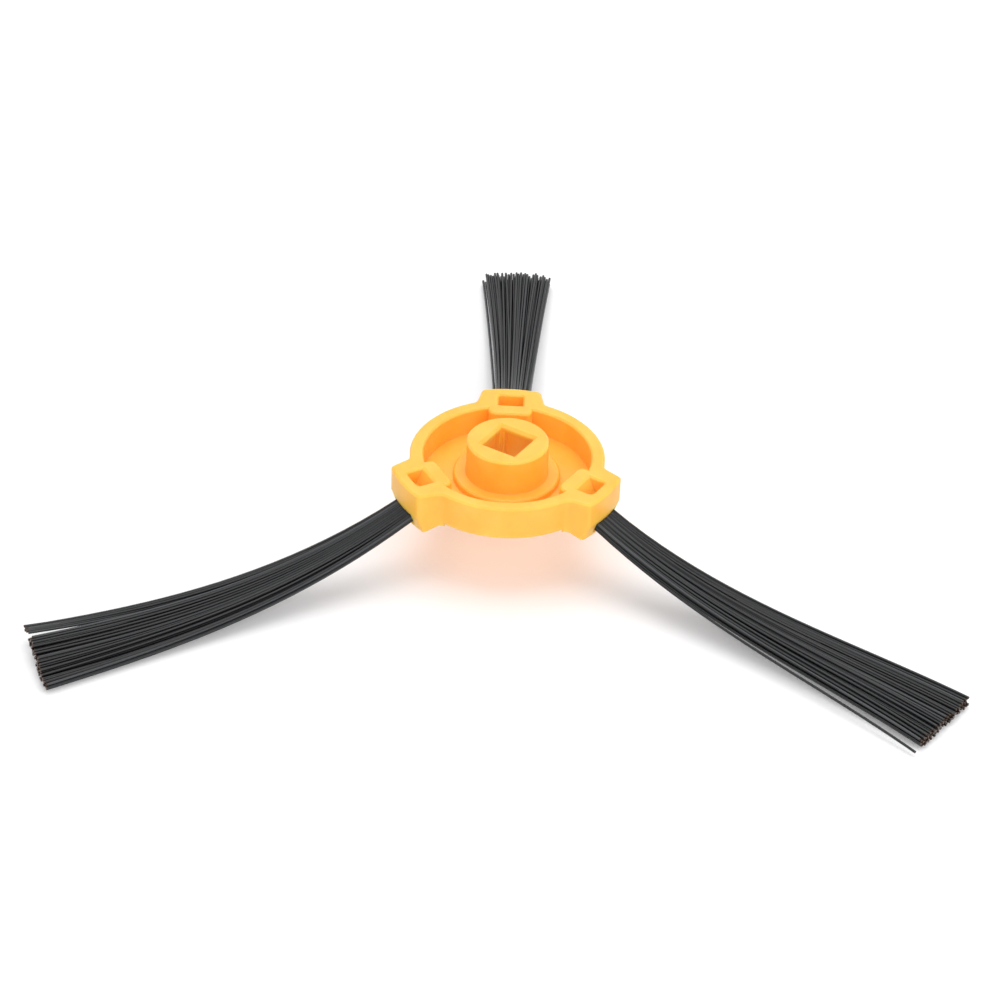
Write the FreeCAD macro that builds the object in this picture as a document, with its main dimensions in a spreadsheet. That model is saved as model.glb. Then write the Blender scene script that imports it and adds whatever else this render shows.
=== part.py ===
import FreeCAD, Part
import math
import os

import Sketcher
from FreeCAD import Vector

# Side brush of a robot vacuum: a moulded hub and the three bristle tufts that it holds.
# Origin: on the hub's axis, in the end face of the drive boss. +Z points at the vacuum.
# The bristle tips stand on the ground, at Z = -brush_height. Lengths in mm, angles in degrees.

SIZES = [
    # dish of the hub
    ("rim_diameter", 31.5, "outside diameter of the round rim"),
    ("rim_wall", 2.2, "thickness of the rim"),
    ("rim_height", 5.5, "top edge of the rim to the underside"),
    ("floor_thickness", 1.0, "floor of the dish"),
    ("step_diameter", 17.3, "low round step at the foot of the boss"),
    ("step_height", 1.05, "step over the floor"),
    ("boss_diameter", 13.3, "drive boss in the middle"),
    ("boss_rise", 2.6, "end face of the boss over the rim"),
    ("edge_bevel", 0.3, "bevel of the upper edges"),
    # drive socket in the boss
    ("socket_width", 6.1, "square socket, across its flats"),
    ("socket_angle", -30.0, "turn of the square about the axis"),
    ("mouth_chamfer", 0.5, "lead-in round the mouth"),
    ("lip_depth", 1.1, "lip that the clips of the drive shaft catch"),
    ("clip_groove", 0.8, "depth of the groove in each wall, under the lip"),
    ("corner_post", 0.5, "wall left between a groove and the corner of the square"),
    # tuft holders on the rim
    ("holder_projection", 3.4, "rim to the round outer face of a holder"),
    ("holder_width", 9.7, "width across the outer face"),
    ("holder_angle", 11.0, "angle from the middle line to a side"),
    ("holder_blend", 1.6, "hollow curve from a side into the rim"),
    ("holder_round", 0.8, "outer corners of a holder"),
    ("lug_inset", 2.05, "rim to the inner end of the holder"),
    ("lug_width", 7.2, "width of the inner end"),
    ("lug_round", 1.2, "upright corners of the inner end"),
    ("face_height", 4.2, "upright part of the outer face"),
    ("nose_length", 3.1, "slanted part of the outer face, round the tuft"),
    ("nose_angle", 18.0, "slant of that part"),
    ("window_width", 4.1, "core-out in the top of the holder, along the rim"),
    ("window_length", 3.05, "core-out, towards the axis"),
    ("window_round", 0.5, "upright corners of the core-out"),
    ("window_wall", 2.0, "outer face to the core-out"),
    ("window_ramp", 1.25, "run of the sloping inner wall of the core-out"),
    ("window_floor", 0.5, "plastic between the core-out and the tuft"),
    # bristle tufts
    ("tuft_angle", 25.5, "droop of a tuft where it leaves its holder"),
    ("tuft_width", 5.7, "width of the fused root"),
    ("tuft_thickness", 1.9, "thickness of the fused root"),
    ("root_depth", 5.0, "depth of the hole for the root"),
    ("root_inset", 0.5, "mouth of the hole to the end of the fused root"),
    ("root_gap", 0.05, "clearance round the fused root"),
    ("brush_diameter", 163.0, "circle that the bristle tips sweep"),
    ("brush_height", 20.0, "end face of the boss to the ground"),
    ("tip_width", 13.0, "width of the fan at the tips"),
    ("tip_thickness", 2.2, "thickness of the fan at the tips"),
    ("tip_angle", 4.5, "slope of the bristles at the tips"),
    ("fan_curve", 1.8, "how late the fan opens, 1 opens it evenly"),
    ("tip_unevenness", 1.5, "shortest bristle against the longest"),
    ("bristle_size", 0.37, "side of one bristle"),
    ("column_count", 13, "bristles side by side"),
    ("row_count", 4, "bristles one over another"),
    ("span_count", 4, "straight spans in the bend of one bristle"),
    ("lean_rear", 0.6, "sideways set of the tips, counter-clockwise from above"),
    ("lean_left", -0.6, "sideways set of the tips, counter-clockwise from above"),
    ("lean_right", -3.4, "sideways set of the tips, counter-clockwise from above"),
    ("twist_rear", 0.0, "rise of the tips from one side of the fan to the other"),
    ("twist_left", -1.5, "rise of the tips from one side of the fan to the other"),
    ("twist_right", 0.0, "rise of the tips from one side of the fan to the other"),
]

# each tuft's name and the way it points, seen from above
TUFTS = [("rear", 90.0), ("left", 210.0), ("right", 330.0)]

# spreads the bristles' uneven lengths without a visible pattern
GOLDEN_SHARE = (math.sqrt(5.0) - 1.0) / 2.0

# levels and radii that several features share
RIM_RADIUS = "sizes.rim_diameter / 2"
BORE_RADIUS = "(sizes.rim_diameter / 2 - sizes.rim_wall)"
RIM_TOP = "-sizes.boss_rise"
HUB_HEIGHT = "(sizes.boss_rise + sizes.rim_height)"
FLOOR_TOP = "(sizes.floor_thickness - %s)" % HUB_HEIGHT
STEP_TOP = "(%s + sizes.step_height)" % FLOOR_TOP
HOLDER_REACH = "(sizes.rim_diameter / 2 + sizes.holder_projection)"
LUG_REACH = "(%s - sizes.lug_inset)" % BORE_RADIUS

# the slanted end of a holder: its upper edge, its lowest edge and the mouth in its middle
NOSE_RUN = "sizes.nose_length * sin(sizes.nose_angle)"
NOSE_DROP = "sizes.nose_length * cos(sizes.nose_angle)"
FACE_FOOT = "(-sizes.boss_rise - sizes.face_height)"
NOSE_FOOT = "(%s - %s)" % (FACE_FOOT, NOSE_DROP)
NOSE_RADIUS = "(%s - %s)" % (HOLDER_REACH, NOSE_RUN)
MOUTH_RADIUS = "(%s - %s / 2)" % (HOLDER_REACH, NOSE_RUN)
MOUTH_LEVEL = "(%s - %s / 2)" % (FACE_FOOT, NOSE_DROP)
HOLE_HALF = "(sizes.tuft_thickness / 2 + sizes.root_gap)"

doc = FreeCAD.newDocument("SideBrush")
sheet = doc.addObject("Spreadsheet::Sheet", "sizes")
for row, (alias, value, note) in enumerate(SIZES, start=1):
    sheet.set("A%d" % row, note)
    sheet.set("B%d" % row, str(value))
    sheet.setAlias("B%d" % row, alias)
doc.recompute()


def size(expression):
    """The present value of an expression in the sheet's sizes."""
    return float(sheet.evalExpression(expression))


def along_tuft(forward, upward):
    """Radius and level of a point in a tuft's middle plane, measured from its mouth."""
    radius = "%s + (%s) * cos(sizes.tuft_angle) + (%s) * sin(sizes.tuft_angle)"
    level = "%s - (%s) * sin(sizes.tuft_angle) + (%s) * cos(sizes.tuft_angle)"
    return radius % (MOUTH_RADIUS, forward, upward), level % (MOUTH_LEVEL, forward, upward)


def new_sketch(body, name, role, lift="0", turn="0"):
    """A sketch on one of the body's own planes, lifted off it and turned in it."""
    plane = next(item for item in body.Origin.OriginFeatures if item.Role == role)
    sketch = body.newObject("Sketcher::SketchObject", name)
    sketch.AttachmentSupport = (plane, [""])
    sketch.MapMode = "FlatFace"
    sketch.setExpression(".AttachmentOffset.Base.z", lift)
    sketch.setExpression(".AttachmentOffset.Rotation.Angle", turn)
    return sketch


def hold(sketch, kind, *places, value):
    """A driving dimension of a sketch, bound to an expression in the sizes."""
    start = math.radians(size(value)) if kind == "Angle" else size(value)
    number = sketch.addConstraint(Sketcher.Constraint(kind, *places, start))
    sketch.setExpression("Constraints[%d]" % number, value)


def draw_outline(sketch, corners):
    """A closed outline of straight lines, each corner held by its two distances."""
    count = len(corners)
    points = [Vector(size(across), size(up), 0) for across, up in corners]
    for index in range(count):
        sketch.addGeometry(Part.LineSegment(points[index], points[(index + 1) % count]), False)
    for index, (across, up) in enumerate(corners):
        sketch.addConstraint(Sketcher.Constraint("Coincident", index, 2, (index + 1) % count, 1))
        hold(sketch, "DistanceX", -1, 1, index, 1, value=across)
        hold(sketch, "DistanceY", -1, 1, index, 1, value=up)


def draw_rectangle(sketch, width, low, high):
    """A rectangle, centred on the sketch's upright axis."""
    left, right = "-(%s) / 2" % width, "(%s) / 2" % width
    draw_outline(sketch, [(left, low), (right, low), (right, high), (left, high)])


def draw_holder(sketch):
    """Plan of a holder outside the rim: round outer face, tapered sides, hollow blends."""
    reach, half = size(HOLDER_REACH), size("sizes.holder_width / 2")
    rim, blend = size(RIM_RADIUS), size("sizes.holder_blend")
    taper = math.radians(size("sizes.holder_angle"))
    corner = Vector(half, math.sqrt(reach ** 2 - half ** 2), 0)
    side = Vector(math.sin(taper), -math.cos(taper), 0)
    outward = Vector(math.cos(taper), math.sin(taper), 0)
    # the centre of the blend lies one blend radius off the side, and off the rim
    start = corner + outward * blend
    inward = start.dot(side)
    run = -inward - math.sqrt(inward ** 2 - start.dot(start) + (rim + blend) ** 2)
    centre = start + side * run
    side_end = centre - outward * blend
    rim_end = centre * (rim / (rim + blend))

    def mirrored(point):
        return Vector(-point.x, point.y, 0)

    def arc(middle, radius, first, last):
        angles = [math.atan2(p.y - middle.y, p.x - middle.x) for p in (first, last)]
        return Part.ArcOfCircle(Part.Circle(middle, Vector(0, 0, 1), radius), *angles)

    origin = Vector(0, 0, 0)
    face, right, right_blend, chord, left_blend, left, rim_circle = range(7)
    sketch.addGeometry(arc(origin, reach, corner, mirrored(corner)), False)
    sketch.addGeometry(Part.LineSegment(corner, side_end), False)
    sketch.addGeometry(arc(centre, blend, side_end, rim_end), False)
    sketch.addGeometry(Part.LineSegment(rim_end, mirrored(rim_end)), False)
    sketch.addGeometry(arc(mirrored(centre), blend, mirrored(rim_end), mirrored(side_end)), False)
    sketch.addGeometry(Part.LineSegment(mirrored(side_end), mirrored(corner)), False)
    sketch.addGeometry(Part.Circle(origin, Vector(0, 0, 1), rim), True)
    for pair in [(face, 3, -1, 1), (rim_circle, 3, -1, 1), (face, 1, right, 1),
                 (right_blend, 2, chord, 1), (chord, 2, left_blend, 1), (left, 2, face, 2)]:
        sketch.addConstraint(Sketcher.Constraint("Coincident", *pair))
    for joint in [(right, 2, right_blend, 1), (left, 1, left_blend, 2),
                  (right_blend, 2, rim_circle)]:
        sketch.addConstraint(Sketcher.Constraint("Tangent", *joint))
    for pair in [(face, 1, face, 2), (chord, 1, chord, 2), (right_blend, 3, left_blend, 3)]:
        sketch.addConstraint(Sketcher.Constraint("Symmetric", *pair, -2))
    hold(sketch, "Radius", face, value=HOLDER_REACH)
    hold(sketch, "Radius", rim_circle, value=RIM_RADIUS)
    hold(sketch, "Radius", right_blend, value="sizes.holder_blend")
    hold(sketch, "DistanceX", face, 2, face, 1, value="sizes.holder_width")
    hold(sketch, "Angle", right, value="sizes.holder_angle - 90")


def revolve(body, kind, name, sketch):
    """A full turn of a section about the body's axis."""
    feature = body.newObject(kind, name)
    feature.Profile = sketch
    feature.ReferenceAxis = (sketch, ["V_Axis"])
    feature.Angle = 360
    return feature


def extrude(body, kind, name, sketch, length, both_ways=False, reverse=False):
    """A pad or pocket of a bound length, one way or equally both ways."""
    feature = body.newObject(kind, name)
    feature.Profile = sketch
    feature.SideType = "Symmetric" if both_ways else "One side"
    feature.Reversed = reverse
    feature.setExpression("Length", length)
    return feature


def turn_copies(body, name, originals, count, angle):
    """Copies of features, turned about the body's upright axis."""
    pattern = body.newObject("PartDesign::PolarPattern", name)
    pattern.Originals = originals
    pattern.Axis = (next(o for o in body.Origin.OriginFeatures if o.Role == "Z_Axis"), [""])
    pattern.Angle = angle
    pattern.Occurrences = count
    body.Tip = pattern
    return pattern


def break_edges(body, kind, name, amount, expression, wanted):
    """A fillet or chamfer on the wanted edges of what the body is so far."""
    doc.recompute()
    base = body.Tip
    edges = ["Edge%d" % number for number, edge in enumerate(base.Shape.Edges, start=1)
             if wanted(edge)]
    feature = body.newObject(kind, name)
    feature.Base = (base, edges)
    feature.setExpression(amount, expression)
    return feature


def at_level(edge, level):
    box = edge.BoundBox
    return abs(box.ZMin - level) < 1e-4 and abs(box.ZMax - level) < 1e-4


def is_round(edge, radius):
    return isinstance(edge.Curve, Part.Circle) and abs(edge.Curve.Radius - radius) < 1e-4


def runs_down(edge, top, foot):
    """True for an edge from one radius and level to a lower one."""
    ends = [(math.hypot(end.X, end.Y), end.Z) for end in edge.Vertexes]
    ends.sort(key=lambda end: -end[1])
    return len(ends) == 2 and max(abs(found - wanted) for pair in zip(ends, (top, foot))
                                  for found, wanted in zip(*pair)) < 1e-4


def make_hub():
    hub = doc.addObject("PartDesign::Body", "hub")
    hub.Label = "hub"
    underside = "-" + HUB_HEIGHT

    section = new_sketch(hub, "dish_section", "XZ_Plane")
    draw_outline(section, [
        ("0", underside),
        (RIM_RADIUS, underside),
        (RIM_RADIUS, RIM_TOP),
        (BORE_RADIUS, RIM_TOP),
        (BORE_RADIUS, FLOOR_TOP),
        ("sizes.step_diameter / 2", FLOOR_TOP),
        ("sizes.step_diameter / 2", STEP_TOP),
        ("sizes.boss_diameter / 2", STEP_TOP),
        ("sizes.boss_diameter / 2", "0"),
        ("0", "0"),
    ])
    revolve(hub, "PartDesign::Revolution", "dish", section)

    plan = new_sketch(hub, "holder_plan", "XY_Plane", lift=RIM_TOP)
    draw_holder(plan)
    holder = extrude(hub, "PartDesign::Pad", "holder", plan,
                     "sizes.face_height + " + NOSE_DROP, reverse=True)
    plan = new_sketch(hub, "lug_plan", "XY_Plane", lift=RIM_TOP)
    draw_rectangle(plan, "sizes.lug_width", LUG_REACH, RIM_RADIUS + " - sizes.rim_wall / 2")
    lug = extrude(hub, "PartDesign::Pad", "lug", plan, "sizes.rim_height", reverse=True)

    # the core-out: upright outer wall, floor parallel to the tuft, sloping inner wall
    outer = "(%s - sizes.window_wall)" % HOLDER_REACH
    inner = "(%s - sizes.window_length)" % outer
    ramp_foot = "(%s + sizes.window_ramp)" % inner
    floor_lift = "(%s + sizes.window_floor) / cos(sizes.tuft_angle)" % HOLE_HALF

    def floor_level(radius):
        drop = "(%s - %s) * tan(sizes.tuft_angle)" % (radius, MOUTH_RADIUS)
        return "%s - %s + %s" % (MOUTH_LEVEL, drop, floor_lift)

    section = new_sketch(hub, "window_section", "YZ_Plane")
    draw_outline(section, [
        (inner, RIM_TOP),
        (ramp_foot, floor_level(ramp_foot)),
        (outer, floor_level(outer)),
        (outer, "0"),
        (inner, "0"),
    ])
    window = extrude(hub, "PartDesign::Pocket", "window", section,
                     "sizes.window_width", both_ways=True)

    section = new_sketch(hub, "tuft_hole_section", "YZ_Plane")
    draw_outline(section, [
        along_tuft("-sizes.root_depth", "-" + HOLE_HALF),
        along_tuft("sizes.nose_length", "-" + HOLE_HALF),
        along_tuft("sizes.nose_length", HOLE_HALF),
        along_tuft("-sizes.root_depth", HOLE_HALF),
    ])
    tuft_hole = extrude(hub, "PartDesign::Pocket", "tuft_hole", section,
                        "sizes.tuft_width + 2 * sizes.root_gap", both_ways=True)
    turn_copies(hub, "holders", [holder, lug, window, tuft_hole], len(TUFTS), 360)

    # everything under the holders' slanted ends and under the dish
    heel = "(%s - (%s - %s) / tan(sizes.tuft_angle))" % (NOSE_RADIUS, underside, NOSE_FOOT)
    beyond = "(%s + sizes.nose_length)" % HOLDER_REACH
    below = "(%s - sizes.nose_length)" % NOSE_FOOT
    section = new_sketch(hub, "under_section", "XZ_Plane")
    draw_outline(section, [
        (heel, underside),
        (NOSE_RADIUS, NOSE_FOOT),
        (HOLDER_REACH, FACE_FOOT),
        (beyond, FACE_FOOT),
        (beyond, below),
        (LUG_REACH, below),
        (LUG_REACH, underside),
    ])
    revolve(hub, "PartDesign::Groove", "under_cut", section)

    plan = new_sketch(hub, "socket_plan", "XY_Plane", turn="sizes.socket_angle")
    draw_rectangle(plan, "sizes.socket_width", "-sizes.socket_width / 2", "sizes.socket_width / 2")
    extrude(hub, "PartDesign::Pocket", "socket", plan, HUB_HEIGHT)

    plan = new_sketch(hub, "clip_groove_plan", "XY_Plane", lift="-sizes.lip_depth",
                      turn="sizes.socket_angle")
    groove_reach = "(sizes.socket_width / 2 + sizes.clip_groove)"
    draw_rectangle(plan, "sizes.socket_width - 2 * sizes.corner_post",
                   "-" + groove_reach, groove_reach)
    grooves = extrude(hub, "PartDesign::Pocket", "clip_grooves", plan,
                      HUB_HEIGHT + " - sizes.lip_depth")
    turn_copies(hub, "cross_grooves", [grooves], 2, 90)

    boss_radius, step_radius = size("sizes.boss_diameter / 2"), size("sizes.step_diameter / 2")
    break_edges(hub, "PartDesign::Chamfer", "mouth_lead_in", "Size", "sizes.mouth_chamfer",
                lambda edge: at_level(edge, 0) and not is_round(edge, boss_radius))
    rim_top, floor_top, step_top = size(RIM_TOP), size(FLOOR_TOP), size(STEP_TOP)
    face_top = (size(HOLDER_REACH), rim_top)
    face_foot = (size(HOLDER_REACH), size(FACE_FOOT))
    nose_foot = (size(NOSE_RADIUS), size(NOSE_FOOT))
    break_edges(hub, "PartDesign::Fillet", "holder_corners", "Radius", "sizes.holder_round",
                lambda edge: runs_down(edge, face_top, face_foot)
                or runs_down(edge, face_foot, nose_foot))
    lug_corner = math.hypot(size("sizes.lug_width / 2"), size(LUG_REACH))
    break_edges(hub, "PartDesign::Fillet", "lug_corners", "Radius", "sizes.lug_round",
                lambda edge: runs_down(edge, (lug_corner, rim_top), (lug_corner, floor_top)))
    corner, foot = math.hypot(size("sizes.window_width / 2"), size(outer)), size(floor_level(outer))
    break_edges(hub, "PartDesign::Fillet", "window_corners", "Radius", "sizes.window_round",
                lambda edge: runs_down(edge, (corner, rim_top), (corner, foot)))
    break_edges(hub, "PartDesign::Chamfer", "top_bevels", "Size", "sizes.edge_bevel",
                lambda edge: at_level(edge, rim_top)
                or (at_level(edge, 0) and is_round(edge, boss_radius))
                or (at_level(edge, step_top) and is_round(edge, step_radius)))
    return hub


def bristle(centres, half):
    """A square bristle along its centre points, its sections upright and parallel."""
    corners = [Vector(0, -half, -half), Vector(0, half, -half),
               Vector(0, half, half), Vector(0, -half, half)]
    rings = [[centre + corner for corner in corners] for centre in centres]
    outlines = [rings[0][::-1], rings[-1]]
    for near, far in zip(rings, rings[1:]):
        for index in range(4):
            following = (index + 1) % 4
            outlines.append([near[index], near[following], far[following], far[index]])
    faces = [Part.Face(Part.makePolygon(points + points[:1])) for points in outlines]
    return Part.Solid(Part.Shell(faces))


def tuft_shape(lean, twist):
    """A tuft that points along +X: a fused root, and bristles that droop and fan out."""
    angle = math.radians(size("sizes.tuft_angle"))
    forward = Vector(math.cos(angle), 0, -math.sin(angle))
    mouth = Vector(size(MOUTH_RADIUS), 0, size(MOUTH_LEVEL))
    width, thickness = size("sizes.tuft_width"), size("sizes.tuft_thickness")
    inset, depth = size("sizes.root_inset"), size("sizes.root_depth")

    root = Part.makeBox(depth - inset, width, thickness)
    root.translate(Vector(-depth, -width / 2, -thickness / 2))
    root.rotate(Vector(0, 0, 0), Vector(0, 1, 0), math.degrees(angle))
    root.translate(mouth)

    # spacing of the outermost bristles' centres, at the mouth and at the tips
    thick = size("sizes.bristle_size")
    margin = thick + 2 * size("sizes.root_gap")
    mouth_spread = Vector(0, width - margin, (thickness - margin) / math.cos(angle))
    tip_spread = Vector(0, size("sizes.tip_width") - thick, size("sizes.tip_thickness") - thick)
    reach = size("sizes.brush_diameter / 2") - mouth.x
    tip_level = (tip_spread.z + abs(twist) + thick) / 2 - size("sizes.brush_height")
    start_slope = -math.tan(angle)
    tip_slope = -math.tan(math.radians(size("sizes.tip_angle")))
    fan_curve = size("sizes.fan_curve")

    def centre(share, across, over):
        """Centre of the bristle at these shares of the reach, the width and the thickness."""
        square, cube = share ** 2, share ** 3
        level = ((2 * cube - 3 * square + 1) * mouth.z + (3 * square - 2 * cube) * tip_level
                 + (cube - 2 * square + share) * reach * start_slope
                 + (cube - square) * reach * tip_slope)
        spread_across = mouth_spread.y + (tip_spread.y - mouth_spread.y) * share ** fan_curve
        spread_over = mouth_spread.z + (tip_spread.z - mouth_spread.z) * share
        return Vector(mouth.x + reach * share, across * spread_across + lean * square,
                      level + over * spread_over + across * twist * square)

    columns, rows = int(size("sizes.column_count")), int(size("sizes.row_count"))
    spans = int(size("sizes.span_count"))
    bristles = []
    for column in range(columns):
        for row in range(rows):
            across = column / (columns - 1) - 0.5
            over = row / (rows - 1) - 0.5
            cut = (len(bristles) * GOLDEN_SHARE) % 1 * size("sizes.tip_unevenness") / reach
            shares = [(1 - cut) * span / spans for span in range(spans + 1)]
            points = [centre(share, across, over) for share in shares]
            points.insert(0, points[0] - forward * (inset + thickness / 2))
            bristles.append(bristle(points, thick / 2))
    return root.fuse(bristles)


hub = make_hub()
parts = [hub]
for name, heading in TUFTS:
    tuft = doc.addObject("Part::Feature", "tuft_" + name)
    tuft.Label = "tuft_" + name
    tuft.Shape = tuft_shape(size("sizes.lean_" + name), size("sizes.twist_" + name))
    tuft.Placement = FreeCAD.Placement(Vector(0, 0, 0), FreeCAD.Rotation(Vector(0, 0, 1), heading))
    parts.append(tuft)
doc.recompute()

for item in doc.Objects:
    if "Invalid" in item.State or "Error" in item.State:
        raise RuntimeError("%s failed: %s" % (item.Name, item.getStatusString()))
    if item.TypeId in ("PartDesign::Pocket", "PartDesign::Groove"):
        if item.Shape.Volume > item.BaseFeature.Shape.Volume - 1:
            raise RuntimeError("%s cuts nothing" % item.Name)
for item in parts:
    if item.Shape.isNull() or not item.Shape.isValid() or len(item.Shape.Solids) != 1:
        raise RuntimeError("%s is not one valid solid" % item.Label)

os.makedirs("parts", exist_ok=True)
for item in parts:
    item.Shape.exportStep("parts/%s.step" % item.Label)
    print(item.Label, round(item.Shape.Volume, 2), "mm3", item.Shape.BoundBox)
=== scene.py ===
# %% [markdown]
# # The side brush of a robot vacuum
# The real brush is one orange moulding, the hub, with three black tufts melted into its rim. It clips
# on a square shaft under the vacuum and sweeps dirt out of corners. The CAD model already has every
# shape that carries load, so this lesson keeps the hub as it is, gives it a real plastic finish, and
# replaces the coarse CAD tufts by hundreds of fine bristles.
#
# The first cell imports the CAD model and bakes each part's place into its mesh. All lengths are in
# metres from here on.

# %% Load the CAD model
import math

import bpy
from mathutils import Matrix, Vector


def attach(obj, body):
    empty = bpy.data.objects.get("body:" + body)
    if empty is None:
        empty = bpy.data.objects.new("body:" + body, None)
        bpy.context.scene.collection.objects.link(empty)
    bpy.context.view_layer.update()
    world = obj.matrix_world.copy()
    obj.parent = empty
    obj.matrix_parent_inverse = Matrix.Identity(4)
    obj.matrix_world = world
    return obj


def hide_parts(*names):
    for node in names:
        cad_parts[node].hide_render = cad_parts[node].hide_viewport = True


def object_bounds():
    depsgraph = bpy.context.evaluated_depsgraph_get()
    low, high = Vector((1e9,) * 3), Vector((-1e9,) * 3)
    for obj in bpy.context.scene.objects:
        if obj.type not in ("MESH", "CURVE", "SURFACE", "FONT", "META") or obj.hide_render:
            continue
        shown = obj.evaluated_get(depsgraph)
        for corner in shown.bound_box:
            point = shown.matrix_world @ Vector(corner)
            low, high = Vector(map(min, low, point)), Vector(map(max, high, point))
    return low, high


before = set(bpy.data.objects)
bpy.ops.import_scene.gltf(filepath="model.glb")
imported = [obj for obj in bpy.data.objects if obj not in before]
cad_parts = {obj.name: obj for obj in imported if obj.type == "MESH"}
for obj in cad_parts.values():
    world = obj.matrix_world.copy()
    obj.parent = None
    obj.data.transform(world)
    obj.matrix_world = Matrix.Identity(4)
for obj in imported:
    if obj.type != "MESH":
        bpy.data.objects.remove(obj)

MM = 0.001
cad_low, cad_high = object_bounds()
ground = cad_low.z
tip_radius = cad_high.y
print("CAD box in mm:", [round(v / MM, 1) for v in (*cad_low, *cad_high)])

# %% [markdown]
# ## The camera
# Set the camera first, so that every later choice is judged in the frame of the photograph. It looks
# down at about 35 degrees from half a metre away through a long lens, which keeps the three arms
# almost free of perspective. A camera is easiest to place by the point it looks at, its direction
# and its distance: the rotation matrix is then just its right, up and back vectors.

# %% Camera
LOOK_AT = Vector((-0.60, -13.28, -2.60)) * MM
CAMERA_DISTANCE = 505.71 * MM
CAMERA_ELEVATION = math.radians(35.27)
CAMERA_AZIMUTH = math.radians(0.93)
CAMERA_ROLL = math.radians(2.30)

back = Vector((
    math.sin(CAMERA_AZIMUTH) * math.cos(CAMERA_ELEVATION),
    -math.cos(CAMERA_AZIMUTH) * math.cos(CAMERA_ELEVATION),
    math.sin(CAMERA_ELEVATION),
))
level_right = Vector((0, 0, 1)).cross(back).normalized()
level_up = back.cross(level_right)
right = level_right * math.cos(CAMERA_ROLL) + level_up * math.sin(CAMERA_ROLL)
up = back.cross(right)

camera = bpy.data.objects.new("camera", bpy.data.cameras.new("camera"))
bpy.context.collection.objects.link(camera)
camera.data.lens = 115.2
camera.data.sensor_width = 36.0
camera.matrix_world = Matrix.Translation(LOOK_AT + back * CAMERA_DISTANCE) @ Matrix(
    (right, up, back)).transposed().to_4x4()
bpy.context.scene.camera = camera
print("camera at", [round(v / MM, 1) for v in camera.matrix_world.translation], "mm")

# %% [markdown]
# ## Building node trees in code
# Every finish below is a small node tree, and so is the rule that grows the bristles. A few helpers
# keep the cells short: they add a node with its sockets set, do one step of arithmetic, make a
# colour ramp, or start an empty material.


# %% Node helpers
def add_node(tree, kind, **sockets):
    """A new node, with values or links for the inputs named in sockets."""
    node = tree.nodes.new(kind)
    for name, value in sockets.items():
        plug(tree, value, node.inputs[name.replace("_", " ")])
    return node


def plug(tree, value, socket):
    """Links a socket to an output, or sets it to a plain value."""
    if isinstance(value, bpy.types.NodeSocket):
        tree.links.new(value, socket)
    else:
        socket.default_value = value


def compute(tree, operation, *values):
    """The result of a math node."""
    node = tree.nodes.new("ShaderNodeMath")
    node.operation = operation
    for index, value in enumerate(values):
        plug(tree, value, node.inputs[index])
    return node.outputs[0]


def add_ramp(tree, factor, *stops):
    """A colour ramp through stops of position, red, green and blue."""
    ramp = add_node(tree, "ShaderNodeValToRGB", Fac=factor)
    elements = ramp.color_ramp.elements
    while len(elements) < len(stops):
        elements.new(0.5)
    for element, (position, *colour) in zip(elements, stops):
        element.position = position
        element.color = (*colour, 1)
    return ramp.outputs["Color"]


def new_material(name):
    """An empty material, its tree and its output node."""
    material = bpy.data.materials.new(name)
    material.use_nodes = True
    tree = material.node_tree
    tree.nodes.clear()
    return material, tree, tree.nodes.new("ShaderNodeOutputMaterial")


print("helpers for node trees: add_node, plug, compute, add_ramp, new_material")

# %% [markdown]
# ## Orange translucent plastic
# The hub is moulded in a warm orange plastic that lets a little light through: thick places look
# deep orange, edges and thin walls look pale, and the table under the hub glows pink. Subsurface
# scattering gives the soft inside. For the glow, rays that only ask whether a lamp is hidden pass
# through the hub, weakened and tinted, so its shadow has the colour of the plastic. A faint noise in
# colour and roughness, and a fine bump, keep the surface from looking like paint. A mould leaves no
# sharp edge, so a Bevel node bends the normals near each edge and lets it catch the light.

# %% Hub plastic
EDGE_RADIUS = 0.3 * MM
GLOW_SHARE = 0.55
hub_plastic, tree, output = new_material("orange_translucent_plastic")
spot = add_node(tree, "ShaderNodeTexCoord").outputs["Object"]
cloudy = add_node(tree, "ShaderNodeTexNoise", Vector=spot, Scale=180.0, Detail=3.0)
orange = add_ramp(tree, cloudy.outputs["Fac"], (0.3, 1.0, 0.48, 0.052), (0.7, 1.0, 0.55, 0.086))
satin = add_node(tree, "ShaderNodeMapRange", Value=cloudy.outputs["Fac"], To_Min=0.34, To_Max=0.46)
grain = add_node(tree, "ShaderNodeTexNoise", Vector=spot, Scale=1400.0, Detail=2.0)
soft_edges = add_node(tree, "ShaderNodeBevel", Radius=EDGE_RADIUS)
soft_edges.samples = 8
bump = add_node(tree, "ShaderNodeBump", Strength=0.08, Distance=0.05 * MM,
                Height=grain.outputs["Fac"], Normal=soft_edges.outputs["Normal"])
plastic = add_node(tree, "ShaderNodeBsdfPrincipled", Base_Color=orange,
                   Roughness=satin.outputs["Result"], Normal=bump.outputs["Normal"], IOR=1.49,
                   Subsurface_Weight=0.6, Subsurface_Radius=(1.0, 0.50, 0.12),
                   Subsurface_Scale=1.8 * MM)
glow = add_node(tree, "ShaderNodeBsdfTransparent", Color=(1.0, 0.38, 0.24, 1))
shadow_ray = add_node(tree, "ShaderNodeLightPath").outputs["Is Shadow Ray"]
mix = add_node(tree, "ShaderNodeMixShader",
               Fac=compute(tree, "MULTIPLY", shadow_ray, GLOW_SHARE))
tree.links.new(plastic.outputs["BSDF"], mix.inputs[1])
tree.links.new(glow.outputs["BSDF"], mix.inputs[2])
tree.links.new(mix.outputs["Shader"], output.inputs["Surface"])

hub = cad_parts["hub"]
hub.data.materials.clear()
hub.data.materials.append(hub_plastic)
print("hub:", len(hub.data.polygons), "triangles in", hub_plastic.name)

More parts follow.
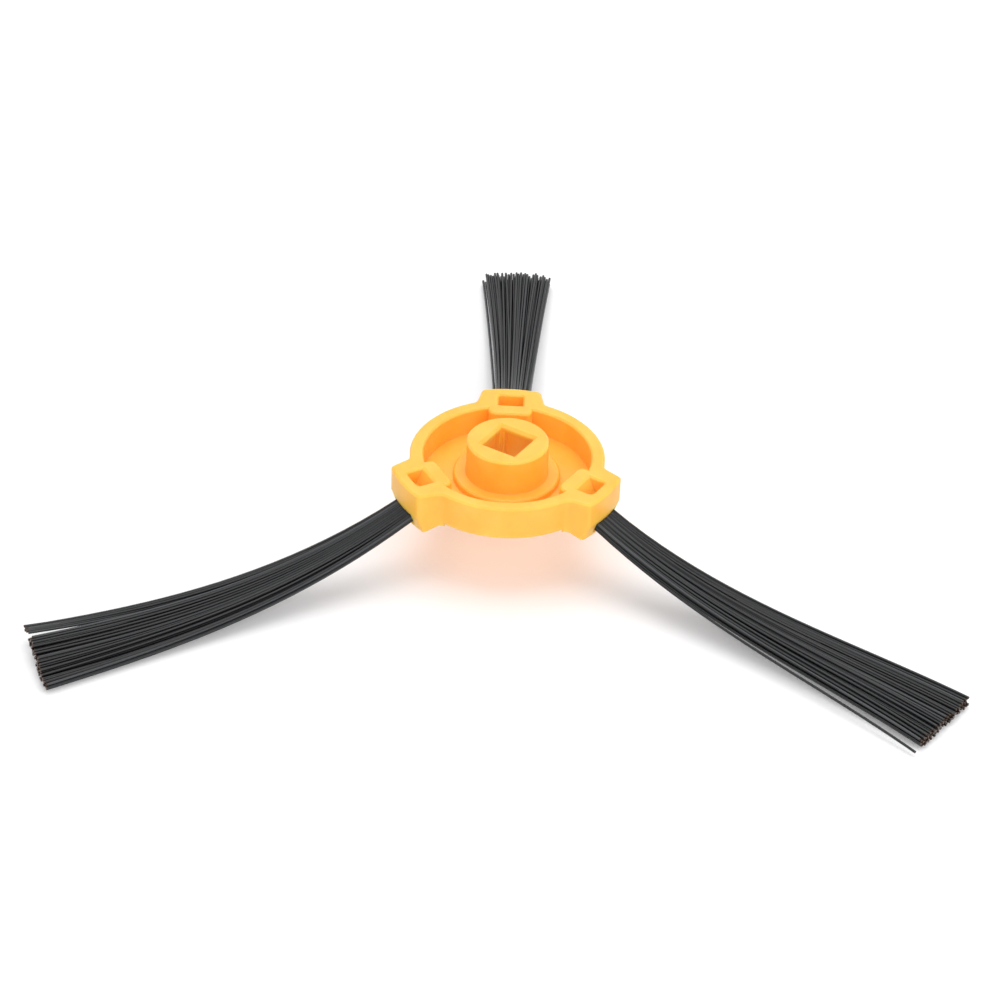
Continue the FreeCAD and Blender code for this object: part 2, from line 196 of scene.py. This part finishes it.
# %% [markdown]
# ## Black nylon bristles
# Each bristle is a drawn nylon thread, charcoal black with a soft shine along its length. Its last
# fraction of a millimetre, at the cut, is brownish. The geometry writes two attributes that the
# material reads: how far along the bristle a point lies, and a random number for each bristle.

# %% Bristle nylon
nylon, tree, output = new_material("black_nylon")
along = add_node(tree, "ShaderNodeAttribute")
along.attribute_name = "along"
tone = add_node(tree, "ShaderNodeAttribute")
tone.attribute_name = "tone"
charcoal = add_ramp(tree, tone.outputs["Fac"], (0.0, 0.004, 0.004, 0.005),
                    (0.7, 0.007, 0.008, 0.009), (1.0, 0.050, 0.053, 0.056))
near_end = add_node(tree, "ShaderNodeMapRange", Value=along.outputs["Fac"], From_Min=0.996,
                    From_Max=0.999)
colour = add_node(tree, "ShaderNodeMix")
colour.data_type = "RGBA"
plug(tree, near_end.outputs["Result"], colour.inputs["Factor"])
plug(tree, charcoal, colour.inputs[6])
colour.inputs[7].default_value = (0.050, 0.026, 0.014, 1)
shine = add_node(tree, "ShaderNodeMapRange", Value=tone.outputs["Fac"], To_Min=0.26, To_Max=0.44)
thread = add_node(tree, "ShaderNodeBsdfPrincipled", Base_Color=colour.outputs[2],
                  Roughness=shine.outputs["Result"], IOR=1.53, Specular_IOR_Level=0.38)
tree.links.new(thread.outputs["BSDF"], output.inputs["Surface"])
print("bristle finish:", nylon.name)

# %% [markdown]
# ## One tuft as a rule
# A tuft is many copies of one bent line. The middle line leaves the mouth of its holder pointing
# down, droops, and runs out almost level at the table. Geometry Nodes copy this guide line once
# for each bristle. Every copy then moves aside by its own place in the bundle: a flat, dense block at
# the root, a wide fan at the tips. It could be done with a hair system, but a rule of one's own needs
# only a few sizes, gives the same bristles each time, and grows three tufts from one tree.


# %% Helpers for the rule
def socket_in(tree, name, kind, value=None):
    """A named input of the node group."""
    socket = tree.interface.new_socket(name, in_out="INPUT", socket_type=kind)
    if value is not None:
        socket.default_value = value


def blend_values(tree, factor, start, end):
    """A value that goes from start to end as factor goes from 0 to 1."""
    node = tree.nodes.new("ShaderNodeMix")
    node.data_type = "FLOAT"
    for index, value in ((0, factor), (2, start), (3, end)):
        plug(tree, value, node.inputs[index])
    return node.outputs[0]


def random_value(tree, seed, low, high):
    """A random number for each element that the field is read on."""
    node = tree.nodes.new("FunctionNodeRandomValue")
    node.data_type = "FLOAT"
    for index, value in ((2, low), (3, high), (8, seed)):
        plug(tree, value, node.inputs[index])
    return node.outputs[1]


def per_bristle(tree, value):
    """Reads a field once for each bristle and hands it to all of its points."""
    node = tree.nodes.new("GeometryNodeFieldOnDomain")
    node.domain = "CURVE"
    plug(tree, value, node.inputs[0])
    return node.outputs[0]


print("helpers for fields: socket_in, blend_values, random_value, per_bristle")

# %% [markdown]
# The sizes that differ from tuft to tuft become named inputs of the node tree. Each will be set on the
# modifier later, so the tree itself holds no tuft's numbers.

# %% The inputs of a tuft
tuft_tree = bpy.data.node_groups.new("bristle_tuft", "GeometryNodeTree")
tuft_tree.is_modifier = True
socket_in(tuft_tree, "Geometry", "NodeSocketGeometry")
socket_in(tuft_tree, "Bristles", "NodeSocketInt", 100)
for name in ("Root Radius", "Tip Radius", "Root Width", "Root Thickness", "Tip Width",
             "Tip Thickness", "Fan Curve", "Root Shift", "Lean", "Twist", "Looseness", "Wave",
             "Stray", "Stray Curve", "Stray Row", "Stagger", "Round Cut", "Slant Cut",
             "Bristle Radius"):
    socket_in(tuft_tree, name, "NodeSocketFloat", 0.0)
socket_in(tuft_tree, "Stray Bristles", "NodeSocketInt", 0)
socket_in(tuft_tree, "Seed", "NodeSocketInt", 0)
socket_in(tuft_tree, "Material", "NodeSocketMaterial")
tuft_tree.interface.new_socket("Geometry", in_out="OUTPUT", socket_type="NodeSocketGeometry")

sizes = tuft_tree.nodes.new("NodeGroupInput").outputs
nodes, links = tuft_tree.nodes, tuft_tree.links
print("inputs of a tuft:", len(tuft_tree.interface.items_tree) - 1)

# %% [markdown]
# The guide line comes in as the modifier's own curve. An instance of it for each bristle is cheap, and
# realizing the instances makes them real curves whose points can move one by one. Each bristle's
# number gives its place: numbers run evenly across the tuft, and the golden ratio mixes them from top
# to bottom, so no row or clump shows.

# %% A line and a place for each bristle
GOLDEN_SHARE = (math.sqrt(5) - 1) / 2

points = nodes.new("GeometryNodePoints")
links.new(sizes["Bristles"], points.inputs["Count"])
copies = nodes.new("GeometryNodeInstanceOnPoints")
links.new(points.outputs[0], copies.inputs["Points"])
links.new(sizes["Geometry"], copies.inputs["Instance"])
lines = nodes.new("GeometryNodeRealizeInstances")
links.new(copies.outputs[0], lines.inputs[0])

index = nodes.new("GeometryNodeInputIndex").outputs[0]
number = per_bristle(tuft_tree, index)
middle = compute(tuft_tree, "ADD", number, 0.5)
across = compute(tuft_tree, "SUBTRACT", compute(tuft_tree, "DIVIDE", middle, sizes["Bristles"]), 0.5)
mixed = compute(tuft_tree, "FRACT", compute(tuft_tree, "MULTIPLY", middle, GOLDEN_SHARE))
over = compute(tuft_tree, "SUBTRACT", mixed, 0.5)
print("bristle 0 lies", round(GOLDEN_SHARE / 2 - 0.5, 3), "of the thickness from the middle")

# %% [markdown]
# Everything that grows towards the tips needs one number: the share of the free length, 0 at the mouth
# of the holder and 1 at the tip. Inside the holder it stays 0, so the root keeps its dense block. The
# mould rounds the corners of that block, so its top and bottom rows are a little narrower.

# %% Share of the length, and the root's section
CORNER_LOSS = 0.16

spot = nodes.new("ShaderNodeSeparateXYZ")
links.new(nodes.new("GeometryNodeInputPosition").outputs[0], spot.inputs[0])
share = nodes.new("ShaderNodeMapRange")
plug(tuft_tree, spot.outputs["X"], share.inputs["Value"])
plug(tuft_tree, sizes["Root Radius"], share.inputs["From Min"])
plug(tuft_tree, sizes["Tip Radius"], share.inputs["From Max"])
share = share.outputs["Result"]
squared = compute(tuft_tree, "POWER", share, 2.0)
outer_rows = compute(tuft_tree, "POWER", compute(tuft_tree, "MULTIPLY", over, 2.0), 2.0)
row_width = compute(tuft_tree, "MULTIPLY", sizes["Root Width"],
                    compute(tuft_tree, "MULTIPLY_ADD", outer_rows, -CORNER_LOSS, 1.0))
print("the outermost rows are", CORNER_LOSS, "narrower")

# %% [markdown]
# Used bristles no longer lie in line. Sideways, a tuft opens as a fan and leans as a whole, each
# bristle drifts and bows by its own random amount, and a few stray ones leave the bundle on one side.
# Each effect is a term of its own in one sum, so it can be seen and tuned alone.

# %% Sideways
fan = blend_values(tuft_tree, compute(tuft_tree, "POWER", share, sizes["Fan Curve"]),
                   row_width, sizes["Tip Width"])
drift = compute(tuft_tree, "MULTIPLY",
                per_bristle(tuft_tree, random_value(tuft_tree, sizes["Seed"], -1.0, 1.0)),
                sizes["Looseness"])
first = compute(tuft_tree, "LESS_THAN", number, sizes["Stray Bristles"])
stray = compute(tuft_tree, "MULTIPLY", compute(tuft_tree, "MULTIPLY", first, sizes["Stray"]),
                compute(tuft_tree, "POWER", share, sizes["Stray Curve"]))
bow = compute(tuft_tree, "MULTIPLY", compute(tuft_tree, "MULTIPLY", share, 4.0),
              compute(tuft_tree, "SUBTRACT", 1.0, share))
bow = compute(tuft_tree, "MULTIPLY", bow, sizes["Wave"])
waves = [compute(tuft_tree, "MULTIPLY", bow, per_bristle(
    tuft_tree, random_value(tuft_tree, compute(tuft_tree, "ADD", sizes["Seed"], step), -1.0, 1.0)))
    for step in (1, 2)]
sideways = compute(tuft_tree, "MULTIPLY_ADD", across, fan,
                   blend_values(tuft_tree, share, sizes["Root Shift"], 0.0))
sideways = compute(tuft_tree, "MULTIPLY_ADD", squared, sizes["Lean"], sideways)
sideways = compute(tuft_tree, "MULTIPLY_ADD", squared, drift, sideways)
sideways = compute(tuft_tree, "ADD", compute(tuft_tree, "ADD", sideways, stray), waves[0])
print("nodes so far:", len(nodes))

# %% [markdown]
# Upwards there are the thickness of the bundle, the twist that lifts one side of the fan, and the same
# kind of bow. The stray bristles gather in one row, so that a gap opens between them and the others.

# %% Upwards
thickness = blend_values(tuft_tree, share, sizes["Root Thickness"], sizes["Tip Thickness"])
row = blend_values(tuft_tree, compute(tuft_tree, "MULTIPLY", first, share), over,
                   sizes["Stray Row"])
upwards = compute(tuft_tree, "MULTIPLY", row, thickness)
lift = compute(tuft_tree, "MULTIPLY", across, sizes["Twist"])
upwards = compute(tuft_tree, "MULTIPLY_ADD", squared, lift, upwards)
upwards = compute(tuft_tree, "ADD", upwards, waves[1])
print("nodes so far:", len(nodes))

# %% [markdown]
# Both sums move the points of the copied lines. The random tone has to be stored now, while each line
# is still one curve, because a mesh no longer knows which bristle its faces belong to.

# %% Move the lines
offset = nodes.new("ShaderNodeCombineXYZ")
plug(tuft_tree, sideways, offset.inputs["Y"])
plug(tuft_tree, upwards, offset.inputs["Z"])
keep_tone = nodes.new("GeometryNodeStoreNamedAttribute")
keep_tone.inputs["Name"].default_value = "tone"
links.new(lines.outputs[0], keep_tone.inputs["Geometry"])
plug(tuft_tree, per_bristle(tuft_tree, random_value(tuft_tree, sizes["Seed"], 0.0, 1.0)),
     keep_tone.inputs["Value"])
moved = nodes.new("GeometryNodeSetPosition")
links.new(keep_tone.outputs[0], moved.inputs["Geometry"])
links.new(offset.outputs[0], moved.inputs["Offset"])
print("nodes so far:", len(nodes))

# %% [markdown]
# The factory cuts the tufts across, but bristles slip a little, so the ends are uneven, and the line
# of the cut is rounded or slanted. Trimming the curves shortens them without squeezing their shape.
# Last, a small polygon swept along each curve makes the round thread, with closed ends.

# %% Cut and thicken the lines
THREAD_SIDES = 6

cut = nodes.new("GeometryNodeTrimCurve")
cut.mode = "FACTOR"
links.new(moved.outputs[0], cut.inputs["Curve"])
shorter = compute(tuft_tree, "MULTIPLY", random_value(tuft_tree, sizes["Seed"], 0.0, 1.0),
                  sizes["Stagger"])
outwards = compute(tuft_tree, "POWER", compute(tuft_tree, "MULTIPLY", across, 2.0), 2.0)
shorter = compute(tuft_tree, "MULTIPLY_ADD", outwards, sizes["Round Cut"], shorter)
shorter = compute(tuft_tree, "MULTIPLY_ADD", compute(tuft_tree, "SUBTRACT", 0.5, across),
                  sizes["Slant Cut"], shorter)
plug(tuft_tree, compute(tuft_tree, "SUBTRACT", 1.0, shorter), cut.inputs["End"])
keep_along = nodes.new("GeometryNodeStoreNamedAttribute")
keep_along.inputs["Name"].default_value = "along"
links.new(cut.outputs[0], keep_along.inputs["Geometry"])
links.new(nodes.new("GeometryNodeSplineParameter").outputs["Factor"], keep_along.inputs["Value"])
section = nodes.new("GeometryNodeCurvePrimitiveCircle")
section.inputs["Resolution"].default_value = THREAD_SIDES
links.new(sizes["Bristle Radius"], section.inputs["Radius"])
threads = nodes.new("GeometryNodeCurveToMesh")
links.new(keep_along.outputs[0], threads.inputs["Curve"])
links.new(section.outputs[0], threads.inputs["Profile Curve"])
threads.inputs["Fill Caps"].default_value = True
whole = nodes.new("GeometryNodeRealizeInstances")
links.new(threads.outputs[0], whole.inputs[0])
painted = nodes.new("GeometryNodeSetMaterial")
links.new(whole.outputs[0], painted.inputs["Geometry"])
links.new(sizes["Material"], painted.inputs["Material"])
links.new(painted.outputs[0], nodes.new("NodeGroupOutput").inputs[0])
print("tuft tree:", len(nodes), "nodes")

# %% [markdown]
# ## The guide line
# The guide line repeats the droop of the CAD tuft: straight inside its holder, then a cubic curve
# from the mouth's slope to the gentler slope at the tip. It is drawn once, pointing along +X.

# %% Guide line
TUFT_ANGLE = math.radians(25.5)
MOUTH = Vector((18.67, 0, -8.27)) * MM
ROOT_DEPTH = 4.9 * MM
GUIDE_POINTS = 22


def guide_line(end_radius, tip_level, tip_slope):
    """Points of a tuft's middle line, from the bottom of its hole to the tips."""
    reach = end_radius - MOUTH.x
    points = [MOUTH - Vector((math.cos(TUFT_ANGLE), 0, -math.sin(TUFT_ANGLE))) * ROOT_DEPTH]
    for step in range(GUIDE_POINTS):
        share = step / (GUIDE_POINTS - 1)
        square, cube = share ** 2, share ** 3
        level = ((2 * cube - 3 * square + 1) * MOUTH.z + (3 * square - 2 * cube) * tip_level
                 - (cube - 2 * square + share) * reach * math.tan(TUFT_ANGLE)
                 - (cube - square) * reach * tip_slope)
        points.append(Vector((MOUTH.x + reach * share, 0, level)))
    return points


print("free length along X in mm:", round((tip_radius - MOUTH.x) / MM, 1))

# %% [markdown]
# ## Growing the three tufts
# Each tuft gets its heading and the small differences that the photograph shows. Lengths are in
# millimetres, cuts are shares of the bristle's length, and a size that a tuft leaves out is zero. The
# evaluated result becomes a plain mesh, turned to its heading, and takes the place of the CAD tuft.

# %% Grow the tufts
SHARED = {"Bristles": 104, "Root Width": 5.45 * MM, "Root Thickness": 1.5 * MM,
          "Bristle Radius": 0.22 * MM, "Root Radius": MOUTH.x}
TUFTS = {
    "rear": dict(heading=90, extra=0.0, tip_level=-18.8, tip_slope=0.08, Tip_Width=12.7,
                 Tip_Thickness=1.9, Fan_Curve=1.7, Lean=0.6, Looseness=0.4, Wave=0.25,
                 Stagger=0.009, Round_Cut=0.020, Seed=3),
    "left": dict(heading=210, extra=0.9, tip_level=-18.0, tip_slope=-0.03, Tip_Width=12.2,
                 Tip_Thickness=1.7, Fan_Curve=1.1, Root_Shift=0.2, Lean=-0.7, Twist=-1.5,
                 Looseness=0.3, Wave=0.2, Stray_Bristles=12, Stray=-1.2, Stray_Curve=2.5,
                 Stray_Row=0.35, Stagger=0.008, Slant_Cut=0.026, Seed=8),
    "right": dict(heading=330, extra=1.0, tip_level=-19.0, tip_slope=0.10, Tip_Width=14.5,
                  Tip_Thickness=1.3, Fan_Curve=1.4, Lean=-3.1, Looseness=0.35, Wave=0.2,
                  Stray_Bristles=1, Stray=-1.6, Stray_Curve=0.8, Stray_Row=-0.25,
                  Stagger=0.008, Slant_Cut=0.021, Seed=5),
}
LENGTHS = {"Tip Width", "Tip Thickness", "Root Shift", "Lean", "Twist", "Looseness", "Wave",
           "Stray"}


def grow_tuft(name, heading, extra, tip_level, tip_slope, **settings):
    """A tuft's bristles as one plain mesh, turned to its heading."""
    end_radius = tip_radius + extra * MM
    line = bpy.data.curves.new("guide_" + name, "CURVE")
    line.dimensions = "3D"
    points = guide_line(end_radius, tip_level * MM, tip_slope)
    spline = line.splines.new("POLY")
    spline.points.add(len(points) - 1)
    for point, spot in zip(spline.points, points):
        point.co = (*spot, 1)
    grower = bpy.data.objects.new("grower_" + name, line)
    bpy.context.collection.objects.link(grower)
    modifier = grower.modifiers.new("tuft", "NODES")
    modifier.node_group = tuft_tree
    values = {**SHARED, "Tip Radius": end_radius, "Material": nylon}
    for key, value in settings.items():
        label = key.replace("_", " ")
        values[label] = value * MM if label in LENGTHS else value
    for socket in tuft_tree.interface.items_tree:
        if socket.in_out == "INPUT" and socket.name in values:
            modifier[socket.identifier] = values[socket.name]
    graph = bpy.context.evaluated_depsgraph_get()
    mesh = bpy.data.meshes.new_from_object(grower.evaluated_get(graph), depsgraph=graph)
    bpy.data.objects.remove(grower)
    mesh.transform(Matrix.Rotation(math.radians(heading), 4, "Z"))
    for face in mesh.polygons:
        face.use_smooth = True
    tuft = bpy.data.objects.new("bristles_" + name, mesh)
    bpy.context.collection.objects.link(tuft)
    return tuft


for name, settings in TUFTS.items():
    tuft = grow_tuft(name, **settings)
    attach(tuft, "root")
    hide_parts("tuft_" + name)
    lowest = min(vertex.co.z for vertex in tuft.data.vertices)
    print(tuft.name, "-", len(tuft.data.polygons), "faces, lowest at", round(lowest / MM, 2), "mm")

# %% [markdown]
# ## Table and light
# The brush lies on a plain white table. What the camera sees of the table gets a little more light of
# its own, so it reaches paper white, while the soft shadows of the tufts and the glow under the hub
# stay.

# %% Table
FLOOR_HALF = 1.5
TABLE_LIFT = 0.12


def seen_directly(tree):
    """1 for a ray from the camera, also by way of a reflection or of something clear, else 0."""
    path = add_node(tree, "ShaderNodeLightPath").outputs
    return compute(tree, "MAXIMUM", path["Is Camera Ray"],
                   compute(tree, "MAXIMUM", path["Is Glossy Ray"], path["Is Transmission Ray"]))


floor_mesh = bpy.data.meshes.new("floor")
floor_mesh.from_pydata(
    [(x * FLOOR_HALF, y * FLOOR_HALF, ground) for x, y in ((-1, -1), (1, -1), (1, 1), (-1, 1))],
    [], [(0, 1, 2, 3)])
floor = bpy.data.objects.new("floor", floor_mesh)
bpy.context.collection.objects.link(floor)

white, tree, output = new_material("white_table")
paper = add_node(tree, "ShaderNodeBsdfDiffuse", Color=(0.86, 0.86, 0.87, 1))
lift = add_node(tree, "ShaderNodeEmission", Color=(1, 1, 1, 1),
                Strength=compute(tree, "MULTIPLY", seen_directly(tree), TABLE_LIFT))
both = add_node(tree, "ShaderNodeAddShader")
tree.links.new(paper.outputs[0], both.inputs[0])
tree.links.new(lift.outputs[0], both.inputs[1])
tree.links.new(both.outputs[0], output.inputs["Surface"])
floor_mesh.materials.append(white)
print("table at", round(ground / MM, 1), "mm")

# %% [markdown]
# The light of a white room comes from everywhere, and the world gives it. Three large, soft lamps add
# direction: from above, from the front, and a weak one from the right that keeps the right tuft's
# shadow light. What the camera sees of the world is plain white.

# %% Light
SKY_LIGHT = 0.70
SKY_SEEN = 1.0
world = bpy.data.worlds.new("studio")
bpy.context.scene.world = world
world.use_nodes = True
tree = world.node_tree
tree.nodes.clear()
sky = add_node(tree, "ShaderNodeBackground", Color=(1, 1, 1, 1),
               Strength=blend_values(tree, seen_directly(tree), SKY_LIGHT, SKY_SEEN))
output = tree.nodes.new("ShaderNodeOutputWorld")
tree.links.new(sky.outputs[0], output.inputs["Surface"])


def soft_box(name, place, size, watts):
    """A square area lamp that faces the brush."""
    lamp = bpy.data.lights.new(name, "AREA")
    lamp.size = size
    lamp.energy = watts
    box = bpy.data.objects.new(name, lamp)
    box.location = place
    box.rotation_euler = Vector(place).to_track_quat("Z", "Y").to_euler()
    bpy.context.collection.objects.link(box)


soft_box("top_light", (0.0, 0.15, 0.9), 0.8, 4.2)
soft_box("front_light", (0.1, -0.9, 0.45), 0.6, 3.0)
soft_box("right_light", (0.8, -0.3, 0.5), 0.6, 1.2)
bpy.context.scene.view_settings.view_transform = "Standard"
print("lamps:", [lamp.name for lamp in bpy.data.lights])
